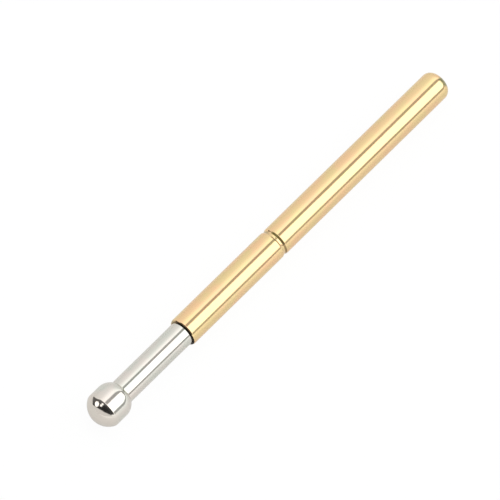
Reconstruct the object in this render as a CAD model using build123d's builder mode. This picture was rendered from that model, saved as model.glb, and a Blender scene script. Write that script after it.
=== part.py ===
"""Spring-loaded contact pin with a ball head, of the kind that goes into a 1.9 mm pitch board.

A plunger turned from one bar slides in a thin drawn barrel that is closed at its rear end.
A ring rolled into the barrel runs in the plunger's long neck and keeps the plunger in.
A coil spring behind the plunger's tail pushes it out.

Sizes are in millimetres. The pin lies along X: the barrel's mouth is at X = 0, the ball
head points to -X and the closed rear end to +X. Every piece is drawn at rest, with the
plunger fully out.
"""

import os
from math import acos, asin, atan2, degrees, sin, sqrt, tan

from build123d import *

# Barrel: a drawn tube with a rounded, slightly domed, closed rear end
barrel_length = 12.39
barrel_diameter = 1.02
barrel_wall = 0.07
rear_corner_radius = 0.29
rear_dome_radius = 0.95
mouth_round = 0.15
mouth_lip = 0.01

# Crimp: the ring rolled into the barrel, a groove outside and a ridge inside. The groove's
# two slopes would meet at its depth, and its floor and shoulders are then rounded.
crimp_x = 4.36
crimp_depth = 0.05
crimp_near_slope = 0.09
crimp_near_round = 0.12
crimp_floor_round = 0.13
crimp_far_slope = 0.10
crimp_far_round = 0.17
ridge_half_width = 0.12
ridge_round = 0.08

# Plunger: ball head, shank, guide land, neck and tail land, from the tip to the rear
travel = 2.65
head_overhang = 0.12
head_cap_height = 0.395
head_length = 1.275
head_rim_round = 0.18
head_back_round = 0.50
head_gap_at_full_travel = 0.18
shank_relief = 0.004
flare_length = 0.65
guide_start_x = 0.15
guide_clearance = 0.01
ridge_catch = 0.05
neck_clearance = 0.07
neck_spare = 0.10
neck_slope = 0.12
tail_length = 1.35
tail_chamfer = 0.05
stop_gap = 0.01

# Spring: round wire, with closed turns at both ends
wire_diameter = 0.11
wire_sides = 6
coil_clearance = 0.06
active_turns = 14
closed_turns = 1.5
closed_turn_gap = 0.005
seat_gap = 0.01

# Radii and places of the barrel that follow from these
barrel_radius = barrel_diameter / 2
bore_radius = barrel_radius - barrel_wall
rear_inner_x = barrel_length - barrel_wall
inner_corner_radius = rear_corner_radius - barrel_wall
inner_dome_radius = rear_dome_radius - barrel_wall
ridge_near_x = crimp_x - ridge_half_width
ridge_far_x = crimp_x + ridge_half_width

# The rear end is a shallow dome, and its corner's arc runs into both the dome and the side
dome_x = barrel_length - rear_dome_radius
corner_r = barrel_radius - rear_corner_radius
dome_angle = asin(corner_r / (rear_dome_radius - rear_corner_radius))
corner_x = dome_x + corner_r / tan(dome_angle)

# The mouth's edge is an arc that leaves a narrow flat lip in front
lip_radius = bore_radius + mouth_lip
mouth_angle = acos((lip_radius - barrel_radius + mouth_round) / mouth_round)
mouth_end_x = mouth_round * sin(mouth_angle)

# The plunger's lands run in the bore, and its neck runs under the ridge. At rest the tail's
# shoulder stands just behind the ridge.
guide_radius = bore_radius - guide_clearance
shank_radius = guide_radius - shank_relief
ridge_radius = guide_radius - ridge_catch
neck_radius = ridge_radius - neck_clearance
neck_end_x = ridge_far_x + stop_gap
neck_start_x = ridge_near_x - travel - neck_spare
tail_end_x = neck_end_x + tail_length

# The head stands out past the barrel, and stays clear of the mouth at full travel
head_radius = barrel_radius + head_overhang
head_back_x = -travel - head_gap_at_full_travel
tip_x = head_back_x - head_length
cap_radius = (head_radius**2 + head_cap_height**2) / (2 * head_cap_height)
cap_angle = 2 * atan2(head_cap_height, head_radius)
cap_end_x = tip_x + head_cap_height

# The head's back is an arc from the head's side that ends where it meets the shank
back_angle = acos((shank_radius - head_radius + head_back_round) / head_back_round)
back_start_x = head_back_x - head_back_round * sin(back_angle)

# The spring runs from the tail's end to the rounded inner corner of the rear end
coil_radius = bore_radius - coil_clearance - wire_diameter / 2
closed_pitch = wire_diameter + closed_turn_gap
front_coil_x = tail_end_x + wire_diameter / 2 + seat_gap
corner_reach = inner_corner_radius - wire_diameter / 2 - seat_gap
corner_rise = max(coil_radius - (bore_radius - inner_corner_radius), 0)
rear_coil_x = corner_x + sqrt(corner_reach**2 - corner_rise**2)
active_length = rear_coil_x - front_coil_x - 2 * closed_turns * closed_pitch
active_pitch = active_length / active_turns

# The barrel's wall in section: the side from the mouth's arc back to the rear corner's arc
side_corners = [
    ((crimp_x - crimp_near_slope, barrel_radius), crimp_near_round),
    ((crimp_x, barrel_radius - crimp_depth), crimp_floor_round),
    ((crimp_x + crimp_far_slope, barrel_radius), crimp_far_round),
]

# The bore from the rear corner's inner arc forward to the mouth
bore_corners = [
    ((ridge_far_x, bore_radius), 0),
    ((crimp_x, ridge_radius), ridge_round),
    ((ridge_near_x, bore_radius), 0),
    ((0, bore_radius), 0),
]

with BuildPart() as barrel:
    with BuildSketch(Plane.XZ):
        with BuildLine():
            edge = CenterArc(
                (mouth_end_x, barrel_radius - mouth_round), mouth_round, 90, degrees(mouth_angle)
            )
            corner_turn = degrees(dome_angle) - 90
            corner = CenterArc((corner_x, corner_r), rear_corner_radius, 90, corner_turn)
            dome = CenterArc((dome_x, 0), rear_dome_radius, degrees(dome_angle), -degrees(dome_angle))
            Line(dome @ 1, (rear_inner_x, 0))
            inner_dome = CenterArc((dome_x, 0), inner_dome_radius, 0, degrees(dome_angle))
            inner_corner = CenterArc(
                (corner_x, corner_r), inner_corner_radius, degrees(dome_angle), -corner_turn
            )
            FilletPolyline(
                [edge @ 0] + [point for point, radius in side_corners] + [corner @ 0],
                radius=[radius for point, radius in side_corners],
            )
            FilletPolyline(
                [inner_corner @ 1] + [point for point, radius in bore_corners] + [edge @ 1],
                radius=[radius for point, radius in bore_corners],
            )
        make_face()
    revolve(axis=Axis.X)
barrel.part.label = "barrel"

# The plunger's section behind the head, from the shank back to the tail's end
shank_to_tail = [
    (guide_start_x - flare_length, shank_radius),
    (guide_start_x, guide_radius),
    (neck_start_x - neck_slope, guide_radius),
    (neck_start_x, neck_radius),
    (neck_end_x, neck_radius),
    (neck_end_x, guide_radius),
    (tail_end_x - tail_chamfer, guide_radius),
    (tail_end_x, guide_radius - tail_chamfer),
]

with BuildPart() as plunger:
    with BuildSketch(Plane.XZ) as plunger_section:
        with BuildLine():
            cap = CenterArc((tip_x + cap_radius, 0), cap_radius, 180, -degrees(cap_angle))
            back = CenterArc(
                (back_start_x, head_radius - head_back_round), head_back_round, 90, -degrees(back_angle)
            )
            Line(cap @ 1, back @ 0)
            Polyline([back @ 1] + shank_to_tail + [(tail_end_x, 0), (tip_x, 0)])
        make_face()
        rim_corner = plunger_section.vertices().sort_by_distance((cap_end_x, head_radius))[0]
        fillet(rim_corner, head_rim_round)
    revolve(axis=Axis.X)
plunger.part.label = "plunger"

# Each run of turns is a helix that starts where the one before it ends. Six sides stand for
# the round wire, so that its many turns stay light.
spring_runs = [
    (closed_pitch, closed_turns),
    (active_pitch, active_turns),
    (closed_pitch, closed_turns),
]

with BuildPart() as spring:
    with BuildLine() as wire_path:
        run_x = front_coil_x
        turned = 0
        for pitch, turns in spring_runs:
            run = Helix(
                pitch,
                pitch * turns,
                coil_radius,
                center=(run_x, 0, 0),
                direction=(1, 0, 0),
                mode=Mode.PRIVATE,
            )
            add(run.rotate(Axis.X, turned))
            run_x += pitch * turns
            turned += 360 * turns
    wire_line = wire_path.wires()[0]
    with BuildSketch(Plane(origin=wire_line @ 0, z_dir=wire_line % 0)):
        RegularPolygon(wire_diameter / 2, wire_sides)
    sweep(path=wire_line, is_frenet=True)
spring.part.label = "spring"

os.makedirs("parts", exist_ok=True)
export_step(barrel.part, "parts/barrel.step")
export_step(plunger.part, "parts/plunger.step")
export_step(spring.part, "parts/spring.step")

# What a maker would check: the overall length, and the spring's room at full travel
spring_length = rear_coil_x - front_coil_x + wire_diameter
solid_length = (active_turns + 2 * closed_turns + 1) * wire_diameter
print("overall length", round(barrel_length - tip_x, 3))
print("spring at rest", round(spring_length, 3), "to", round(rear_coil_x + wire_diameter / 2, 3))
print("spring at full travel", round(spring_length - travel, 3), "solid", round(solid_length, 3))
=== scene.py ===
"""A spring-loaded contact pin with a ball head, lying on a pale floor in soft studio light.

The barrel and the plunger are outlines turned about the pin's axis, and the spring is a round
wire carried along a helix. All three are worked out with numpy in millimetres, and turned to
metres as they go into their meshes. X is the pin's axis, from the ball head to the closed end.
"""

from math import acos, asin, atan2, cos, pi, radians, sin, sqrt, tan, tau

import bpy
import numpy as np
from mathutils import Matrix, Vector


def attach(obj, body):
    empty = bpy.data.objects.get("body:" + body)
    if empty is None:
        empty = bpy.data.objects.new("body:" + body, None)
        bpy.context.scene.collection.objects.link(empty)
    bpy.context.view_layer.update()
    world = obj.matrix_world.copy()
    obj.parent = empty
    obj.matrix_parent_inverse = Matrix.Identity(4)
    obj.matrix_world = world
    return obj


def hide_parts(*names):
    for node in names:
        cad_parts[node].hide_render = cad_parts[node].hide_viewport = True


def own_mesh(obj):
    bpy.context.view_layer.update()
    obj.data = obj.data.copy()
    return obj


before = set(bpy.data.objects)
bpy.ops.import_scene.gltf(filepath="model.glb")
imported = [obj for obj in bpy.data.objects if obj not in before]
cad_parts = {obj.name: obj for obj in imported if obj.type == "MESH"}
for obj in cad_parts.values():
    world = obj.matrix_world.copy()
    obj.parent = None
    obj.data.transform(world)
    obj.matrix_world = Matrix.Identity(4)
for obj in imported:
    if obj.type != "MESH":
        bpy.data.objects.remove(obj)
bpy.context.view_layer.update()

# One millimetre in metres
mm = 0.001

# Driving sizes in millimetres, as on the real pin
barrel_length = 12.39
barrel_radius = 0.51
barrel_wall = 0.07
rear_corner_radius = 0.29
rear_dome_radius = 0.95
mouth_round = 0.15
mouth_start_x = 0.03
mouth_end_x = 0.12
crimp_x = 4.36
crimp_depth = 0.05
crimp_near_slope = 0.09
crimp_near_round = 0.12
crimp_floor_round = 0.13
crimp_far_slope = 0.10
crimp_far_round = 0.17
ridge_half_width = 0.12
ridge_round = 0.08
travel = 2.65
head_overhang = 0.12
head_cap_height = 0.415
head_length = 1.275
head_rim_round = 0.18
head_back_round = 0.50
head_gap_at_full_travel = 0.18
shank_relief = 0.004
flare_length = 0.65
guide_start_x = 0.15
guide_clearance = 0.01
ridge_catch = 0.05
neck_clearance = 0.07
neck_spare = 0.10
neck_slope = 0.12
tail_length = 1.35
tail_chamfer = 0.05
stop_gap = 0.01
wire_diameter = 0.11
coil_clearance = 0.06
active_turns = 14
closed_turns = 1.5
closed_turn_gap = 0.005
seat_gap = 0.01

# What follows from them
bore_radius = barrel_radius - barrel_wall
inner_corner_radius = rear_corner_radius - barrel_wall
ridge_near_x = crimp_x - ridge_half_width
ridge_far_x = crimp_x + ridge_half_width
dome_x = barrel_length - rear_dome_radius
corner_r = barrel_radius - rear_corner_radius
dome_angle = asin(corner_r / (rear_dome_radius - rear_corner_radius))
corner_x = dome_x + corner_r / tan(dome_angle)
mouth_angle = asin((mouth_end_x - mouth_start_x) / mouth_round)
guide_radius = bore_radius - guide_clearance
shank_radius = guide_radius - shank_relief
ridge_radius = guide_radius - ridge_catch
neck_radius = ridge_radius - neck_clearance
neck_end_x = ridge_far_x + stop_gap
neck_start_x = ridge_near_x - travel - neck_spare
tail_end_x = neck_end_x + tail_length
head_radius = barrel_radius + head_overhang
head_back_x = -travel - head_gap_at_full_travel
tip_x = head_back_x - head_length
back_angle = acos((shank_radius - head_radius + head_back_round) / head_back_round)
back_start_x = head_back_x - head_back_round * sin(back_angle)
cap_radius = (head_radius**2 + head_cap_height**2) / (2 * head_cap_height)
coil_radius = bore_radius - coil_clearance - wire_diameter / 2
closed_pitch = wire_diameter + closed_turn_gap
front_coil_x = tail_end_x + wire_diameter / 2 + seat_gap
corner_reach = inner_corner_radius - wire_diameter / 2 - seat_gap
corner_rise = max(coil_radius - (bore_radius - inner_corner_radius), 0)
rear_coil_x = corner_x + sqrt(corner_reach**2 - corner_rise**2)
active_length = rear_coil_x - front_coil_x - 2 * closed_turns * closed_pitch

# How finely the surfaces are divided
sides = 288
arc_step = radians(3)
longest_step = 0.5
wire_sides = 14
steps_per_turn = 60
sharp_edge = radians(25)


def arc(centre, radius, start, sweep):
    """Points of an arc: centre + radius (cos a, sin a), with a from start through sweep."""
    count = max(int(abs(sweep) / arc_step) + 2, 4)
    angle = start + sweep * np.linspace(0, 1, count)
    return np.array(centre) + radius * np.column_stack((np.cos(angle), np.sin(angle)))


def corner_arc(before, corner, after, radius):
    """The arc of that radius that touches both sides of a corner; a radius of 0 keeps the corner."""
    before, corner, after = (np.array(point, float) for point in (before, corner, after))
    if radius == 0:
        return corner[None]
    back = (before - corner) / np.linalg.norm(before - corner)
    onward = (after - corner) / np.linalg.norm(after - corner)
    half = acos(np.clip(back @ onward, -1, 1)) / 2
    middle = (back + onward) / np.linalg.norm(back + onward)
    centre = corner + middle * radius / sin(half)
    first = corner + back * radius / np.tan(half) - centre
    last = corner + onward * radius / np.tan(half) - centre
    start = atan2(first[1], first[0])
    sweep = (atan2(last[1], last[0]) - start + pi) % tau - pi
    return arc(centre, radius, start, sweep)


def rounded_line(corners):
    """A line through corners given as (x, r, radius), each rounded by its radius. The ends stay."""
    points = [corner[:2] for corner in corners]
    inner = zip(points, corners[1:], points[2:])
    runs = [corner_arc(before, at[:2], after, at[2]) for before, at, after in inner]
    return np.vstack([points[:1], *runs, points[-1:]])


def divided(outline, longest):
    """The outline with its long straight runs divided, so that no step is over the longest."""
    lengths = np.linalg.norm(np.diff(outline, axis=0), axis=1)
    travelled = np.concatenate(([0], np.cumsum(lengths)))
    counts = np.maximum(np.ceil(lengths / longest), 1).astype(int)
    starts = np.repeat(travelled[:-1], counts)
    shares = np.concatenate([np.arange(count) / count for count in counts])
    at = np.append(starts + shares * np.repeat(lengths, counts), travelled[-1])
    return np.column_stack([np.interp(at, travelled, outline[:, axis]) for axis in (0, 1)])


def mesh_piece(name, points, faces, material):
    """A mesh object at the origin, with its points turned from millimetres to metres."""
    mesh = bpy.data.meshes.new(name)
    mesh.from_pydata((points * mm).tolist(), [], faces)
    mesh.shade_smooth()
    mesh.set_sharp_from_angle(angle=sharp_edge)
    mesh.materials.append(material)
    piece = bpy.data.objects.new(name, mesh)
    bpy.context.scene.collection.objects.link(piece)
    return piece


def turned_piece(name, outline, material):
    """An outline (x, r) turned about X: at angle a its point is (x, r cos a, r sin a).

    The outline starts and ends on the axis, and each end is one point that closes the surface.
    """
    angle = np.linspace(0, tau, sides, endpoint=False)
    x, r = outline[1:-1].T
    rings = np.stack(
        (
            np.broadcast_to(x[:, None], (len(x), sides)),
            np.outer(r, np.cos(angle)),
            np.outer(r, np.sin(angle)),
        ),
        axis=-1,
    ).reshape(-1, 3)
    ends = [(outline[0, 0], 0, 0), (outline[-1, 0], 0, 0)]
    points = np.vstack((rings, ends))
    here = np.arange(sides)
    onward = (here + 1) % sides
    start = np.arange(len(x) - 1)[:, None] * sides
    quads = np.stack(
        (start + here, start + onward, start + sides + onward, start + sides + here), axis=-1
    ).reshape(-1, 4)
    last = (len(x) - 1) * sides
    front_fan = np.column_stack((np.full(sides, len(rings)), onward, here))
    rear_fan = np.column_stack((np.full(sides, len(rings) + 1), last + here, last + onward))
    return mesh_piece(name, points, quads.tolist() + front_fan.tolist() + rear_fan.tolist(), material)


def wire_piece(name, path, radius, material):
    """A round wire along a path: at angle a its point is path + radius (cos a out + sin a across).

    Out points away from the pin's axis, and across is square to out and to the path. A point in
    the middle of each end closes it.
    """
    along = np.gradient(path, axis=0)
    along /= np.linalg.norm(along, axis=1)[:, None]
    out = path * (0, 1, 1)
    out -= np.sum(out * along, axis=1)[:, None] * along
    out /= np.linalg.norm(out, axis=1)[:, None]
    across = np.cross(along, out)
    angle = np.linspace(0, tau, wire_sides, endpoint=False)[None, :, None]
    rings = path[:, None] + radius * (np.cos(angle) * out[:, None] + np.sin(angle) * across[:, None])
    points = np.vstack((rings.reshape(-1, 3), path[:1], path[-1:]))
    here = np.arange(wire_sides)
    onward = (here + 1) % wire_sides
    start = np.arange(len(path) - 1)[:, None] * wire_sides
    quads = np.stack(
        (start + here, start + onward, start + wire_sides + onward, start + wire_sides + here),
        axis=-1,
    ).reshape(-1, 4)
    last = (len(path) - 1) * wire_sides
    centre = len(path) * wire_sides
    first_cap = np.column_stack((np.full(wire_sides, centre), onward, here))
    last_cap = np.column_stack((np.full(wire_sides, centre + 1), last + here, last + onward))
    return mesh_piece(name, points, quads.tolist() + first_cap.tolist() + last_cap.tolist(), material)


def barrel_outline():
    """The barrel's wall: outside from the closed end to the mouth, then the bore back to the end."""
    turn = pi / 2 - dome_angle
    dome = arc((dome_x, 0), rear_dome_radius, 0, dome_angle)
    corner = arc((corner_x, corner_r), rear_corner_radius, dome_angle, turn)
    side = [
        (corner_x, barrel_radius, 0),
        (crimp_x + crimp_far_slope, barrel_radius, crimp_far_round),
        (crimp_x, barrel_radius - crimp_depth, crimp_floor_round),
        (crimp_x - crimp_near_slope, barrel_radius, crimp_near_round),
        (mouth_end_x, barrel_radius, 0),
    ]
    mouth = arc((mouth_end_x, barrel_radius - mouth_round), mouth_round, pi / 2, mouth_angle)
    bore = [
        (mouth_start_x, bore_radius, 0),
        (ridge_near_x, bore_radius, 0),
        (crimp_x, ridge_radius, ridge_round),
        (ridge_far_x, bore_radius, 0),
        (corner_x, bore_radius, 0),
    ]
    inner_corner = arc((corner_x, corner_r), inner_corner_radius, pi / 2, -turn)
    inner_dome = arc((dome_x, 0), rear_dome_radius - barrel_wall, dome_angle, -dome_angle)
    outside = (dome[:-1], corner[:-1], rounded_line(side)[:-1], mouth)
    return np.vstack((*outside, rounded_line(bore)[:-1], inner_corner[:-1], inner_dome))


def plunger_outline():
    """The plunger from the tip: ball cap, rim, head, shank, flare, guide land, neck and tail land."""
    cap_centre = tip_x + cap_radius
    rim_reach = cap_radius - head_rim_round
    rim_centre_r = head_radius - head_rim_round
    rim_angle = asin(rim_centre_r / rim_reach)
    rim_centre = (cap_centre - rim_reach * cos(rim_angle), rim_centre_r)
    cap = arc((cap_centre, 0), cap_radius, pi, -rim_angle)
    rim = arc(rim_centre, head_rim_round, pi - rim_angle, rim_angle - pi / 2)
    back_centre = (back_start_x, head_radius - head_back_round)
    back = arc(back_centre, head_back_round, pi / 2, -back_angle)
    shank_to_tail = [
        (guide_start_x - flare_length, shank_radius),
        (guide_start_x, guide_radius),
        (neck_start_x - neck_slope, guide_radius),
        (neck_start_x, neck_radius),
        (neck_end_x, neck_radius),
        (neck_end_x, guide_radius),
        (tail_end_x - tail_chamfer, guide_radius),
        (tail_end_x, guide_radius - tail_chamfer),
        (tail_end_x, 0),
    ]
    return np.vstack((cap[:-1], rim, back, shank_to_tail))


def coil_path():
    """The wire's middle line: a helix whose advance per turn is the closed pitch at both ends."""
    all_turns = active_turns + 2 * closed_turns
    turns = np.linspace(0, all_turns, int(all_turns * steps_per_turn))
    knots = np.array([0, closed_turns, closed_turns + active_turns, all_turns])
    closed_length = closed_turns * closed_pitch
    places = front_coil_x + np.array(
        [0, closed_length, closed_length + active_length, 2 * closed_length + active_length]
    )
    angle = turns * tau
    x = np.interp(turns, knots, places)
    return np.column_stack((x, coil_radius * np.cos(angle), coil_radius * np.sin(angle)))


def add_node(tree, kind, **settings):
    """A new node of a tree, with its settings."""
    node = tree.nodes.new(kind)
    for name, value in settings.items():
        setattr(node, name, value)
    return node


def feed(tree, socket, value):
    """Gives an input a number, a colour or another node's output."""
    if isinstance(value, bpy.types.NodeSocket):
        tree.links.new(value, socket)
    else:
        socket.default_value = value


def maths(tree, operation, *values, clamp=False):
    """One Math node on these values."""
    node = add_node(tree, "ShaderNodeMath", operation=operation, use_clamp=clamp)
    for socket, value in zip(node.inputs, values):
        feed(tree, socket, value)
    return node.outputs[0]


def rise(tree, value, start, end, low=0.0, high=1.0):
    """A smooth rise from low to high as the value goes from start to end."""
    node = add_node(tree, "ShaderNodeMapRange", interpolation_type="SMOOTHSTEP")
    for name, given in (("Value", value), ("From Min", start), ("From Max", end)):
        feed(tree, node.inputs[name], given)
    for name, given in (("To Min", low), ("To Max", high)):
        feed(tree, node.inputs[name], given)
    return node.outputs["Result"]


def straight_rise(tree, value, start, end):
    """A straight rise from 0 to 1 as the value goes from start to end."""
    node = add_node(tree, "ShaderNodeMapRange")
    for name, given in (("Value", value), ("From Min", start), ("From Max", end)):
        feed(tree, node.inputs[name], given)
    return node.outputs["Result"]


def within(tree, value, low, high, soft):
    """1 where the value lies from low to high, with soft edges, and 0 elsewhere."""
    up = rise(tree, value, low - soft, low + soft)
    down = rise(tree, value, high - soft, high + soft)
    return maths(tree, "SUBTRACT", up, down)


def blended(tree, share, first, second):
    """A colour mixed from the first, at share 0, to the second, at share 1."""
    node = add_node(tree, "ShaderNodeMix", data_type="RGBA")
    for socket, value in zip((node.inputs[0], node.inputs[6], node.inputs[7]), (share, first, second)):
        feed(tree, socket, value)
    return node.outputs[2]


def shaded(tree, share, first, second):
    """A level mixed from the first, at share 0, to the second, at share 1."""
    node = add_node(tree, "ShaderNodeMix", data_type="FLOAT")
    for socket, value in zip((node.inputs[0], node.inputs[2], node.inputs[3]), (share, first, second)):
        feed(tree, socket, value)
    return node.outputs[0]


def facing(tree, direction, towards):
    """The cosine of the angle between a direction and a fixed one."""
    node = add_node(tree, "ShaderNodeVectorMath", operation="DOT_PRODUCT")
    feed(tree, node.inputs[0], direction)
    node.inputs[1].default_value = Vector(towards).normalized()
    return node.outputs["Value"]


def noise(tree, place, scale, detail=2.0, roughness=0.5, stretch=(1, 1, 1)):
    """Noise on a place stretched along the axes; its value runs from 0 to 1."""
    mapping = add_node(tree, "ShaderNodeMapping", vector_type="POINT")
    feed(tree, mapping.inputs["Vector"], place)
    mapping.inputs["Scale"].default_value = stretch
    node = add_node(tree, "ShaderNodeTexNoise", noise_dimensions="3D")
    feed(tree, node.inputs["Vector"], mapping.outputs[0])
    feed(tree, node.inputs["Scale"], scale)
    node.inputs["Detail"].default_value = detail
    node.inputs["Roughness"].default_value = roughness
    return node.outputs["Fac"]


def node_group(name, inputs, outputs):
    """An empty node group with named inputs, as (name, kind, default), and outputs (name, kind)."""
    group = bpy.data.node_groups.new(name, "ShaderNodeTree")
    for label, kind, default in inputs:
        socket = group.interface.new_socket(label, in_out="INPUT", socket_type=kind)
        socket.default_value = default
    for label, kind in outputs:
        group.interface.new_socket(label, in_out="OUTPUT", socket_type=kind)
    given = group.nodes.new("NodeGroupInput").outputs
    result = group.nodes.new("NodeGroupOutput").inputs
    return group, given, result


def use_group(tree, group, **values):
    """A node group placed in a material, its inputs given by name with spaces as underscores."""
    node = add_node(tree, "ShaderNodeGroup", node_tree=group)
    for name, value in values.items():
        feed(tree, node.inputs[name.replace("_", " ")], value)
    return node.outputs


FLOAT = "NodeSocketFloat"
VECTOR = "NodeSocketVector"


def axial_lines_group():
    """Fine lines along the pin, as drawing leaves them: noise that is stretched far along X."""
    group, given, result = node_group(
        "axial_lines",
        [("Place", VECTOR, (0, 0, 0)), ("Lines per metre", FLOAT, 9000)],
        [("Lines", FLOAT), ("Waves", FLOAT)],
    )
    place, density = given["Place"], given["Lines per metre"]
    fine = noise(group, place, density, 3, 0.6, (0.02, 1, 1))
    wide = noise(group, place, maths(group, "MULTIPLY", density, 0.2), 1, 0.5, (0.06, 1, 1))
    feed(group, result["Lines"], rise(group, fine, 0.3, 0.7))
    feed(group, result["Waves"], wide)
    return group


def turning_rings_group():
    """Rings round the pin, as the lathe tool leaves them: noise that changes along X only."""
    group, given, result = node_group(
        "turning_rings",
        [("Place", VECTOR, (0, 0, 0)), ("Rings per metre", FLOAT, 12000)],
        [("Rings", FLOAT)],
    )
    rings = noise(group, given["Place"], given["Rings per metre"], 3, 0.6, (1, 0.015, 0.015))
    feed(group, result["Rings"], rise(group, rings, 0.3, 0.7))
    return group


def plating_group():
    """How the plate varies: wide soft patches, and small cloudy spots."""
    group, given, result = node_group(
        "plating",
        [("Place", VECTOR, (0, 0, 0)), ("Patches per metre", FLOAT, 2600)],
        [("Patches", FLOAT), ("Clouds", FLOAT)],
    )
    place, density = given["Place"], given["Patches per metre"]
    patches = noise(group, place, density, 2, 0.5, (0.6, 1, 1))
    clouds = noise(group, place, maths(group, "MULTIPLY", density, 2.5), 3, 0.6, (0.7, 1, 1))
    feed(group, result["Patches"], rise(group, patches, 0.3, 0.7))
    feed(group, result["Clouds"], rise(group, clouds, 0.35, 0.75))
    return group


def plated_material(name):
    """A material with its Principled shader and the place on the piece."""
    material = bpy.data.materials.new(name)
    material.use_nodes = True
    tree = material.node_tree
    shader = tree.nodes["Principled BSDF"]
    shader.inputs["Metallic"].default_value = 1.0
    place = add_node(tree, "ShaderNodeTexCoord").outputs["Object"]
    return material, tree, shader, place


def bump(tree, shader, *heights):
    """Bumps one on another, each as (height, depth in metres), into the shader's normal."""
    normal = None
    for height, depth in heights:
        node = add_node(tree, "ShaderNodeBump")
        feed(tree, node.inputs["Height"], height)
        node.inputs["Distance"].default_value = depth
        if normal:
            feed(tree, node.inputs["Normal"], normal)
        normal = node.outputs[0]
    feed(tree, shader.inputs["Normal"], normal)


# Rings of painted shade on the gold, each as its start and end along X and how far these edges
# fade, in millimetres: the shadow in the gap at the mouth's roll, the crimp's near shoulder, its
# groove, a band on its far slope, that slope itself, and the corner of the closed end
mouth_gap_shadow_ring = (-0.05, 0.057, 0.006)
crimp_near_shade_ring = (4.262, 4.302, 0.008)
crimp_groove_shade_ring = (4.30, 4.39, 0.02)
far_band_shade_ring = (4.388, 4.461, 0.012)
far_slope_shade_ring = (4.378, 4.444, 0.014)
# The closed end's corner ring is painted shade, a dark edge where the highlight ends.
rear_corner_shade_ring = (12.135, 12.32, 0.02)


def shade_ring_group():
    """A ring of painted shade round the pin between two places along X, with faded and slightly uneven
    edges.
    """
    group, given, result = node_group(
        "shade_ring",
        [
            ("Place", VECTOR, (0, 0, 0)),
            ("From", FLOAT, 0),
            ("To", FLOAT, 1e-4),
            ("Fade", FLOAT, 1e-5),
        ],
        [("Ring", FLOAT)],
    )
    parts = add_node(group, "ShaderNodeSeparateXYZ")
    feed(group, parts.inputs[0], given["Place"])
    uneven = noise(group, given["Place"], 5000, 2, 0.5, (0.1, 1, 1))
    shift = maths(group, "MULTIPLY", maths(group, "SUBTRACT", uneven, 0.5), 2e-5)
    x = maths(group, "ADD", parts.outputs[0], shift)
    start, end, fade = given["From"], given["To"], given["Fade"]
    up = rise(group, x, maths(group, "SUBTRACT", start, fade), maths(group, "ADD", start, fade))
    down = rise(group, x, maths(group, "SUBTRACT", end, fade), maths(group, "ADD", end, fade))
    feed(group, result["Ring"], maths(group, "SUBTRACT", up, down))
    return group


def ring_share(tree, shade_ring, place, ring):
    """How far a point lies in one of the rings of painted shade, from 0 to 1."""
    start, end, fade = (value * mm for value in ring)
    return use_group(tree, shade_ring, Place=place, From=start, To=end, Fade=fade)["Ring"]


def gold_plated_tube(axial_lines, plating, shade_ring):
    """Bright gold plate on a drawn tube: axial lines, and patches from redder to greener gold.

    Rings of painted shade darken it: the shadow in the gap where the mouth's roll meets the plunger,
    and the dark lines that the crimp and the closed end's corner mirror. Their strength changes with
    Y, by how the light falls round the tube. The mouth's ring is dull, and the band on the crimp's
    far slope is rougher and only half metallic.
    """
    material, tree, shader, place = plated_material("gold_plated_tube")
    lines = use_group(tree, axial_lines, Place=place, Lines_per_metre=9000)
    plate = use_group(tree, plating, Place=place, Patches_per_metre=2600)
    pink = (0.905, 0.605, 0.345, 1)
    green = (0.835, 0.655, 0.335, 1)
    painted_gap_shadow = (0.02, 0.013, 0.006, 1)
    painted_shade_brown = (0.26, 0.17, 0.08, 1)
    painted_shade_olive = (0.36, 0.33, 0.17, 1)
    painted_shade_ochre = (0.34, 0.27, 0.08, 1)
    parts = add_node(tree, "ShaderNodeSeparateXYZ")
    feed(tree, parts.inputs[0], place)
    y = parts.outputs[1]
    rings = (mouth_gap_shadow_ring, crimp_near_shade_ring, crimp_groove_shade_ring, far_band_shade_ring, far_slope_shade_ring, rear_corner_shade_ring)
    shares = [ring_share(tree, shade_ring, place, ring) for ring in rings]
    gap_shadow, near_shade, groove_shade, far_band_shade, slope, corner = shares
    # The mouth's ring is a painted shadow of the gap round the plunger, and it fades towards +Y.
    gap_shadow = maths(tree, "MULTIPLY", gap_shadow, rise(tree, y, 0.16 * mm, 0.36 * mm, 1.0, 0.4))
    # The crimp's rings are painted shade and dark reflection; the band on its far slope keeps to a
    # span of Y.
    far_band_shade = maths(tree, "MULTIPLY", far_band_shade, within(tree, y, -0.38 * mm, 0.14 * mm, 0.04 * mm))
    # Each ring with its colour of painted shade and how strong it is, in the order in which they are
    # laid on
    painted_rings = (
        (far_band_shade, painted_shade_ochre, 0.95),
        (near_shade, painted_shade_brown, within(tree, y, -0.34 * mm, 0.04 * mm, 0.04 * mm)),
        (groove_shade, painted_shade_olive, rise(tree, y, 0.08 * mm, 0.30 * mm, 0.0, 0.6)),
        (slope, painted_shade_brown, rise(tree, y, -0.15 * mm, -0.42 * mm, 0.0, 0.85)),
        (corner, painted_shade_olive, within(tree, y, -0.37 * mm, -0.08 * mm, 0.04 * mm)),
        (gap_shadow, painted_gap_shadow, 1.0),
    )
    colour = blended(tree, plate["Patches"], pink, green)
    for ring, tone, strength in painted_rings:
        colour = blended(tree, maths(tree, "MULTIPLY", ring, strength), colour, tone)
    feed(tree, shader.inputs["Base Color"], colour)
    feed(tree, shader.inputs["Metallic"], rise(tree, far_band_shade, 0, 1, 1.0, 0.5))
    roughness = rise(tree, lines["Lines"], 0, 1, 0.10, 0.15)
    roughness = rise(tree, far_band_shade, 0, 1, roughness, 0.26)
    roughness = rise(tree, gap_shadow, 0, 1, roughness, 0.5)
    feed(tree, shader.inputs["Roughness"], roughness)
    bump(tree, shader, (lines["Waves"], 3e-6), (lines["Lines"], 2e-7), (plate["Clouds"], 4e-7))
    return material


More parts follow.
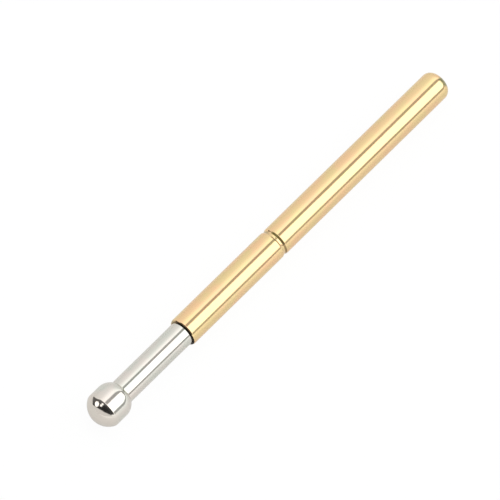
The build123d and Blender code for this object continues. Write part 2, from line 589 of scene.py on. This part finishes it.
def nickel_plated_bar(turning_rings, plating):
    """Bright nickel plate on a turned bar: rings round it, cloudy patches, and a ball tinted rosier by
    a painted reflection.
    """
    material, tree, shader, place = plated_material("nickel_plated_bar")
    rings = use_group(tree, turning_rings, Place=place, Rings_per_metre=12000)
    plate = use_group(tree, plating, Place=place, Patches_per_metre=2600)
    cool = (0.66, 0.67, 0.605, 1)
    warm = (0.735, 0.68, 0.625, 1)
    # The ball's rosier tint is painted reflection of the pinkish light that it mirrors.
    rose_reflection = (0.745, 0.675, 0.605, 1)
    rose_reflection_share = 0.7
    rose_reflection_from_x = tip_x + 0.75
    rose_reflection_full_x = tip_x + 0.3
    parts = add_node(tree, "ShaderNodeSeparateXYZ")
    feed(tree, parts.inputs[0], place)
    rose_reflection_mask = rise(tree, parts.outputs[0], rose_reflection_from_x * mm, rose_reflection_full_x * mm)
    colour = blended(tree, plate["Patches"], cool, warm)
    colour = blended(tree, maths(tree, "MULTIPLY", rose_reflection_mask, rose_reflection_share), colour, rose_reflection)
    feed(tree, shader.inputs["Base Color"], colour)
    roughness = rise(tree, rings["Rings"], 0, 1, 0.08, 0.13)
    feed(tree, shader.inputs["Roughness"], roughness)
    bump(tree, shader, (rings["Rings"], 1e-7), (plate["Clouds"], 4e-7))
    return material


def spring_wire(axial_lines, plating):
    """Drawn wire with a satin plate: soft lines and clouded patches."""
    material, tree, shader, place = plated_material("spring_wire")
    plate = use_group(tree, plating, Place=place, Patches_per_metre=2500)
    lines = use_group(tree, axial_lines, Place=place, Lines_per_metre=20000)
    colour = blended(tree, plate["Clouds"], (0.50, 0.49, 0.46, 1), (0.36, 0.35, 0.33, 1))
    feed(tree, shader.inputs["Base Color"], colour)
    feed(tree, shader.inputs["Roughness"], rise(tree, plate["Clouds"], 0, 1, 0.24, 0.36))
    bump(tree, shader, (lines["Lines"], 3e-7))
    return material


# The studio as the pin sees it. Azimuth is in degrees round the pin's axis, from straight up
# towards -Y, and latitude is in degrees from the plane across the pin towards +X. The fades are
# half the width of a soft edge.
sky_top = 2.0
sky_by_azimuth = (
    (-180, 0.85),
    (-90, 0.85),
    (-76, 0.90),
    (-64, 0.94),
    (-53, 0.97),
    (-43, 1.03),
    (-33, 1.16),
    (-23, 1.35),
    (-12, 1.45),
    (80, 1.25),
    (92, 1.25),
    (140, 0.90),
    (180, 0.85),
)

# The soft box, and the dim frame that shows round it
box_light = 1.95
box_azimuth = (13.8, 70.0)
box_latitude = (-20.0, 68.0)
box_fade = (3.0, 1.5)
frame_light = 0.48
frame_azimuth = (-5.6, 86.0)
frame_latitude = (8.0, 95.0)
frame_fade = (3.0, 4.0)

# The room is dark in front of the ball, from front_latitude on. That edge dips by front_dip
# between two azimuths, and the dark ends at front_end_azimuth. Its light falls from the first to
# the second front_light across front_azimuth, and to deep_light across deep_latitude.
front_latitude = -2.0
front_fade = 2.0
front_dip = 13.0
dip_azimuth = (-74, -42)
dip_fade = 12
front_end_azimuth = (84, 80)
front_azimuth = (0, 22)
front_light = (0.15, 0.07)
deep_latitude = (-30, -42)
deep_light = 0.03

# The glow low in front of the ball, and small bright spots in the dark, each as its direction and
# its reach. A reach is the cosine of a radius.
glow_light = 0.84
glow_direction = (-0.745, -0.072, -0.663)
glow_reach = 0.435
glow_fade = 0.02
spots = (
    ((-0.6957, 0.5803, 0.4204), 0.978),
    ((-0.7151, 0.2023, 0.6691), 0.9955),
    ((-0.5726, 0.1623, 0.8036), 0.9955),
)
spot_fade = 0.006


def sky_light(tree, azimuth):
    """The room's light round the pin, as a ramp over the azimuth."""
    ramp = add_node(tree, "ShaderNodeValToRGB")
    feed(tree, ramp.inputs[0], straight_rise(tree, azimuth, -180, 180))
    stops = ramp.color_ramp.elements
    for stop, (angle, light) in zip(stops, (sky_by_azimuth[0], sky_by_azimuth[-1])):
        stop.position = (angle + 180) / 360
        stop.color = (light / sky_top,) * 3 + (1,)
    for angle, light in sky_by_azimuth[1:-1]:
        stops.new((angle + 180) / 360).color = (light / sky_top,) * 3 + (1,)
    return maths(tree, "MULTIPLY", ramp.outputs[0], sky_top)


def in_panel(tree, azimuth, latitude, azimuths, latitudes, fades):
    """1 in a panel between two azimuths and two latitudes, with soft edges, and 0 elsewhere."""
    round_pin = within(tree, azimuth, *azimuths, fades[0])
    along_pin = within(tree, latitude, *latitudes, fades[1])
    return maths(tree, "MULTIPLY", round_pin, along_pin)


def with_front(tree, light, direction, azimuth, latitude):
    """The room's light with its dark front, and the glow in the low part of that front."""
    dip = maths(tree, "MULTIPLY", within(tree, azimuth, *dip_azimuth, dip_fade), front_dip)
    depth = maths(tree, "ADD", latitude, dip)
    in_front = rise(tree, depth, front_latitude + front_fade, front_latitude - front_fade)
    glow = facing(tree, direction, glow_direction)
    in_glow = rise(tree, glow, glow_reach - glow_fade, glow_reach + glow_fade)
    light = shaded(tree, maths(tree, "MULTIPLY", in_front, in_glow), light, glow_light)
    in_dark = maths(tree, "MULTIPLY", in_front, maths(tree, "SUBTRACT", 1.0, in_glow))
    in_dark = maths(tree, "MULTIPLY", in_dark, rise(tree, azimuth, *front_end_azimuth))
    dark = rise(tree, azimuth, *front_azimuth, *front_light)
    dark = rise(tree, latitude, *deep_latitude, dark, deep_light)
    return shaded(tree, in_dark, light, dark)


def studio_world():
    """A white room with a soft box overhead: light by direction, and plain white to the camera."""
    world = bpy.data.worlds.new("studio")
    bpy.context.scene.world = world
    world.use_nodes = True
    tree = world.node_tree
    background = tree.nodes["Background"]
    background.inputs["Color"].default_value = (1, 1, 1, 1)
    direction = add_node(tree, "ShaderNodeTexCoord").outputs["Generated"]
    parts = add_node(tree, "ShaderNodeSeparateXYZ")
    feed(tree, parts.inputs[0], direction)
    x, y, z = parts.outputs
    azimuth = maths(tree, "DEGREES", maths(tree, "ARCTAN2", maths(tree, "MULTIPLY", y, -1.0), z))
    latitude = maths(tree, "DEGREES", maths(tree, "ARCSINE", x))

    light = sky_light(tree, azimuth)
    in_frame = in_panel(tree, azimuth, latitude, frame_azimuth, frame_latitude, frame_fade)
    light = shaded(tree, in_frame, light, frame_light)
    in_box = in_panel(tree, azimuth, latitude, box_azimuth, box_latitude, box_fade)
    light = shaded(tree, in_box, light, box_light)
    light = with_front(tree, light, direction, azimuth, latitude)
    for towards, reach in spots:
        spot = facing(tree, direction, towards)
        in_spot = rise(tree, spot, reach - spot_fade, reach + spot_fade)
        light = shaded(tree, in_spot, light, box_light)
    seen = add_node(tree, "ShaderNodeLightPath").outputs["Is Camera Ray"]
    feed(tree, background.inputs["Strength"], shaded(tree, seen, light, 1.0))


# Floor. The camera sees it nearly white, with floor_seen as the share of plain white in it. The
# metal sees plain white in the share metal_share, brighter in front of the pin than beside it.
floor_half_width = 1.5
paper_colour = (0.85, 0.85, 0.84, 1)
floor_seen = 0.93
floor_white = 1.027
metal_share = 0.45
floor_beside = 1.06
floor_in_front = 1.55
floor_beside_y = -0.5
floor_in_front_y = -6


def pale_paper():
    """Pale paper with a faint shadow: plain white over a matt sheet that takes the shadow."""
    material = bpy.data.materials.new("pale_floor")
    material.use_nodes = True
    tree = material.node_tree
    tree.nodes.clear()
    paper = add_node(tree, "ShaderNodeBsdfDiffuse")
    paper.inputs["Color"].default_value = paper_colour
    white = add_node(tree, "ShaderNodeEmission")
    rays = add_node(tree, "ShaderNodeLightPath").outputs
    parts = add_node(tree, "ShaderNodeSeparateXYZ")
    feed(tree, parts.inputs[0], add_node(tree, "ShaderNodeTexCoord").outputs["Object"])
    y = parts.outputs[1]
    in_metal = rise(tree, y, floor_beside_y * mm, floor_in_front_y * mm, floor_beside, floor_in_front)
    feed(tree, white.inputs["Strength"], shaded(tree, rays["Is Camera Ray"], in_metal, floor_white))
    seen = maths(tree, "ADD", rays["Is Camera Ray"], rays["Is Transmission Ray"], clamp=True)
    seen = maths(tree, "MULTIPLY", seen, floor_seen)
    mirrored = maths(tree, "MULTIPLY", rays["Is Glossy Ray"], metal_share)
    mixed = add_node(tree, "ShaderNodeMixShader")
    feed(tree, mixed.inputs[0], maths(tree, "ADD", seen, mirrored))
    tree.links.new(paper.outputs[0], mixed.inputs[1])
    tree.links.new(white.outputs[0], mixed.inputs[2])
    output = add_node(tree, "ShaderNodeOutputMaterial")
    tree.links.new(mixed.outputs[0], output.inputs["Surface"])
    return material


def pale_floor():
    """A flat sheet that the ball and the barrel's rear end rest on, so it rises a little along X.

    Its height is that of the ball's underside, plus the slope times the distance behind the ball.
    """
    slope = (head_radius - barrel_radius) / (corner_x - tip_x - cap_radius)
    edge = floor_half_width
    ball_x = (tip_x + cap_radius) * mm
    x = np.array([-edge, edge, edge, -edge])
    y = np.array([-edge, -edge, edge, edge])
    z = -head_radius * mm + (x - ball_x) * slope
    mesh = bpy.data.meshes.new("floor")
    mesh.from_pydata(np.column_stack((x, y, z)).tolist(), [], [(0, 1, 2, 3)])
    mesh.materials.append(pale_paper())
    floor = bpy.data.objects.new("floor", mesh)
    bpy.context.scene.collection.objects.link(floor)


# Camera: a long lens, and how wide its picture is at the pin
view_azimuth = radians(-48.2)
view_elevation = radians(60.9)
lens_mm = 620
sensor_mm = 36
picture_width = 15.84 * mm
picture_pixels = 500
aim_x = 4.385 * mm
aim_pixel = (274.26, 243.0)


def photo_camera():
    """The camera at the photograph's angle.

    It is turned to the pin and then moved sideways, so that the point aim_x on the pin's axis
    falls on aim_pixel.
    """
    back = Vector(
        (
            sin(view_azimuth) * cos(view_elevation),
            -cos(view_azimuth) * cos(view_elevation),
            sin(view_elevation),
        )
    )
    right = Vector((0, 0, 1)).cross(back).normalized()
    up = back.cross(right)
    data = bpy.data.cameras.new("camera")
    data.lens = lens_mm
    data.sensor_width = sensor_mm
    data.clip_start = 0.01
    data.clip_end = 5
    metres_per_pixel = picture_width / picture_pixels
    off_right = (aim_pixel[0] - picture_pixels / 2) * metres_per_pixel
    off_down = (aim_pixel[1] - picture_pixels / 2) * metres_per_pixel
    distance = picture_width * lens_mm / sensor_mm
    camera = bpy.data.objects.new("camera", data)
    camera.location = Vector((aim_x, 0, 0)) - right * off_right + up * off_down + back * distance
    camera.rotation_euler = Matrix((right, up, back)).transposed().to_euler()
    bpy.context.scene.collection.objects.link(camera)
    bpy.context.scene.camera = camera


def dress_pin():
    """The three pieces, each on its body in place of its node."""
    axial_lines = axial_lines_group()
    turning_rings = turning_rings_group()
    plating = plating_group()
    gold = gold_plated_tube(axial_lines, plating, shade_ring_group())

    barrel = turned_piece("barrel_tube", divided(barrel_outline(), longest_step)[::-1], gold)
    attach(barrel, "barrel")
    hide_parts("barrel")

    nickel = nickel_plated_bar(turning_rings, plating)
    plunger = turned_piece("plunger_bar", divided(plunger_outline(), longest_step), nickel)
    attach(plunger, "plunger")
    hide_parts("plunger")

    wire = spring_wire(axial_lines, plating)
    coil = wire_piece("coil_spring", coil_path(), wire_diameter / 2, wire)
    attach(coil, "barrel")
    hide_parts("spring")
    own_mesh(coil)


photo_camera()
studio_world()
pale_floor()
dress_pin()
bpy.context.scene.view_settings.view_transform = "Standard"
